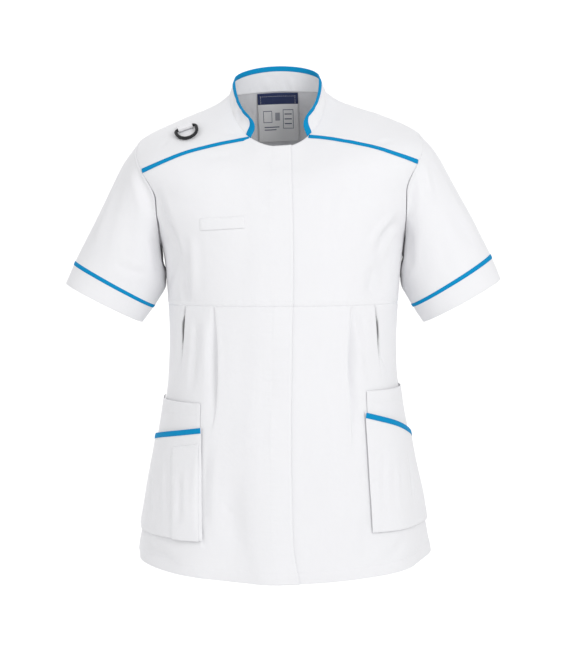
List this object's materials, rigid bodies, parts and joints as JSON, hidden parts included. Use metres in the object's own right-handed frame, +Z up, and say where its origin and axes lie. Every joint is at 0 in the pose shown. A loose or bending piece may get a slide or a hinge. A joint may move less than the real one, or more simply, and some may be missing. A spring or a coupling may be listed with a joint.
{
  "type": "maternity tunic",
  "caption": "Short-sleeved front-opening maternity tunic, hollow as when worn, with a stand collar, shoulder yokes, pleated flared skirt and contrast edging.",
  "frame": {"origin": "midpoint of the shoulder line at the base of the neck, where the wearer's shoulders carry the tunic", "axes": "+Z up along the wearer, -Y to the front, +X to the wearer's left"},
  "size_m": [0.6929, 0.363, 0.803],
  "materials": {
    "white_cloth": "matt woven poly-cotton",
    "blue_tape": "matt woven poly-cotton",
    "black_plastic": "moulded, satin",
    "label_cloth": "smooth woven label"
  },
  "bodies": {
    "garment": {"back": "white_cloth", "badge_tab": "white_cloth", "collar": "white_cloth", "collar_tape": "blue_tape", "cuff_left": "white_cloth", "cuff_right": "white_cloth", "cuff_tape_left": "blue_tape", "cuff_tape_right": "blue_tape", "front_left_bodice": "white_cloth", "front_left_skirt": "white_cloth", "front_right_bodice": "white_cloth", "front_right_skirt": "white_cloth", "neck_label": "label_cloth", "pen_pocket": "white_cloth", "pocket_inner_left": "white_cloth", "pocket_inner_right": "white_cloth", "pocket_outer_left": "white_cloth", "pocket_outer_right": "white_cloth", "pocket_tape_left": "blue_tape", "pocket_tape_right": "blue_tape", "ring_tab": "white_cloth", "sleeve_left": "white_cloth", "sleeve_right": "white_cloth", "yoke_left": "white_cloth", "yoke_right": "white_cloth", "yoke_tape_left": "blue_tape", "yoke_tape_right": "blue_tape"},
    "ring": {"shoulder_ring": "black_plastic"}
  },
  "joints": [
    {"name": "ring_swing", "type": "hinge", "parent": "garment", "child": "ring", "pos_m": [-0.15398, -0.04623, -0.04173], "axis": [-0.939, -0.0848, -0.3333], "range_deg": [0, 170]}
  ]
}
